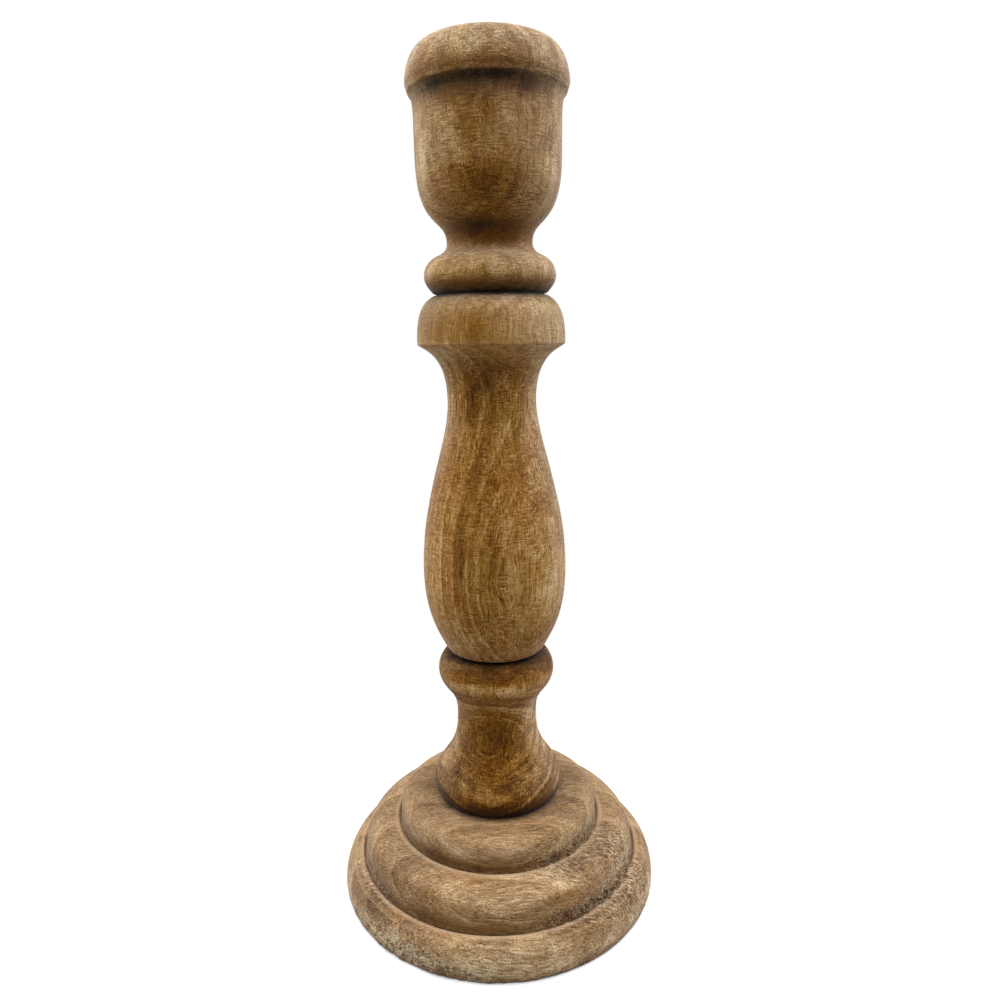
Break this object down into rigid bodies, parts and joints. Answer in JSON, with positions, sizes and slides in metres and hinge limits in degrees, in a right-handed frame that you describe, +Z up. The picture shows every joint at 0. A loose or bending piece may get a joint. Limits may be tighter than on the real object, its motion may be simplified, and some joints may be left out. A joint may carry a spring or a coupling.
{
  "type": "pricket candle stand",
  "caption": "Turned wooden candle stand: stepped round base, spool, vase-shaped baluster and a cup with a spike in a lined hollow.",
  "frame": {"origin": "centre of the felt disc's underside, on the surface that the stand rests on", "axes": "+Z up along the turning axis, +X to the right and +Y away from the viewer in the picture"},
  "size_m": [0.1226, 0.1226, 0.3087],
  "materials": {
    "turned_wood": "brown stained hardwood, matte, open grain",
    "dowel_wood": "plain pale hardwood",
    "felt": "dark pressed felt",
    "steel": "zinc plated",
    "aged_brass": "spun, dulled with age",
    "dark_iron": "dark, lightly worn at the point"
  },
  "bodies": {
    "root": {"felt_pad": "felt", "base": "turned_wood", "base_screw": "steel", "screw_washer": "steel", "stem": "turned_wood", "lower_dowel": "dowel_wood", "baluster": "turned_wood", "upper_dowel": "dowel_wood", "candle_cup": "turned_wood", "drip_pan": "aged_brass", "pricket": "dark_iron"}
  },
  "joints": []
}
